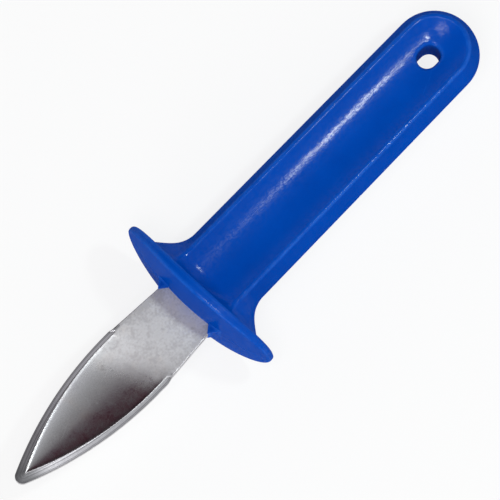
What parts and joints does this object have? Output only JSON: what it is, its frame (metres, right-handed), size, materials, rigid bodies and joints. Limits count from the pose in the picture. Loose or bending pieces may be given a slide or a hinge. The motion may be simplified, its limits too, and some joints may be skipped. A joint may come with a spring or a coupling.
{
  "type": "oyster knife",
  "caption": "Oyster knife: short pointed steel blade with a hollowed leaf, moulded into a blue plastic handle with an oval bowed hand guard, dished grip faces and a hang hole.",
  "frame": {"origin": "middle of the whole knife's bounding box, on the blade's middle plane", "axes": "+X along the knife towards the blade's tip, +Y across it along the guard's long side, +Z out of the flat side"},
  "size_m": [0.1694, 0.0504, 0.03],
  "materials": {
    "blade_steel": "satin, finely tumbled",
    "handle_plastic": "half gloss moulded polypropylene"
  },
  "bodies": {
    "root": {"blade": "blade_steel", "handle": "handle_plastic"}
  },
  "joints": []
}
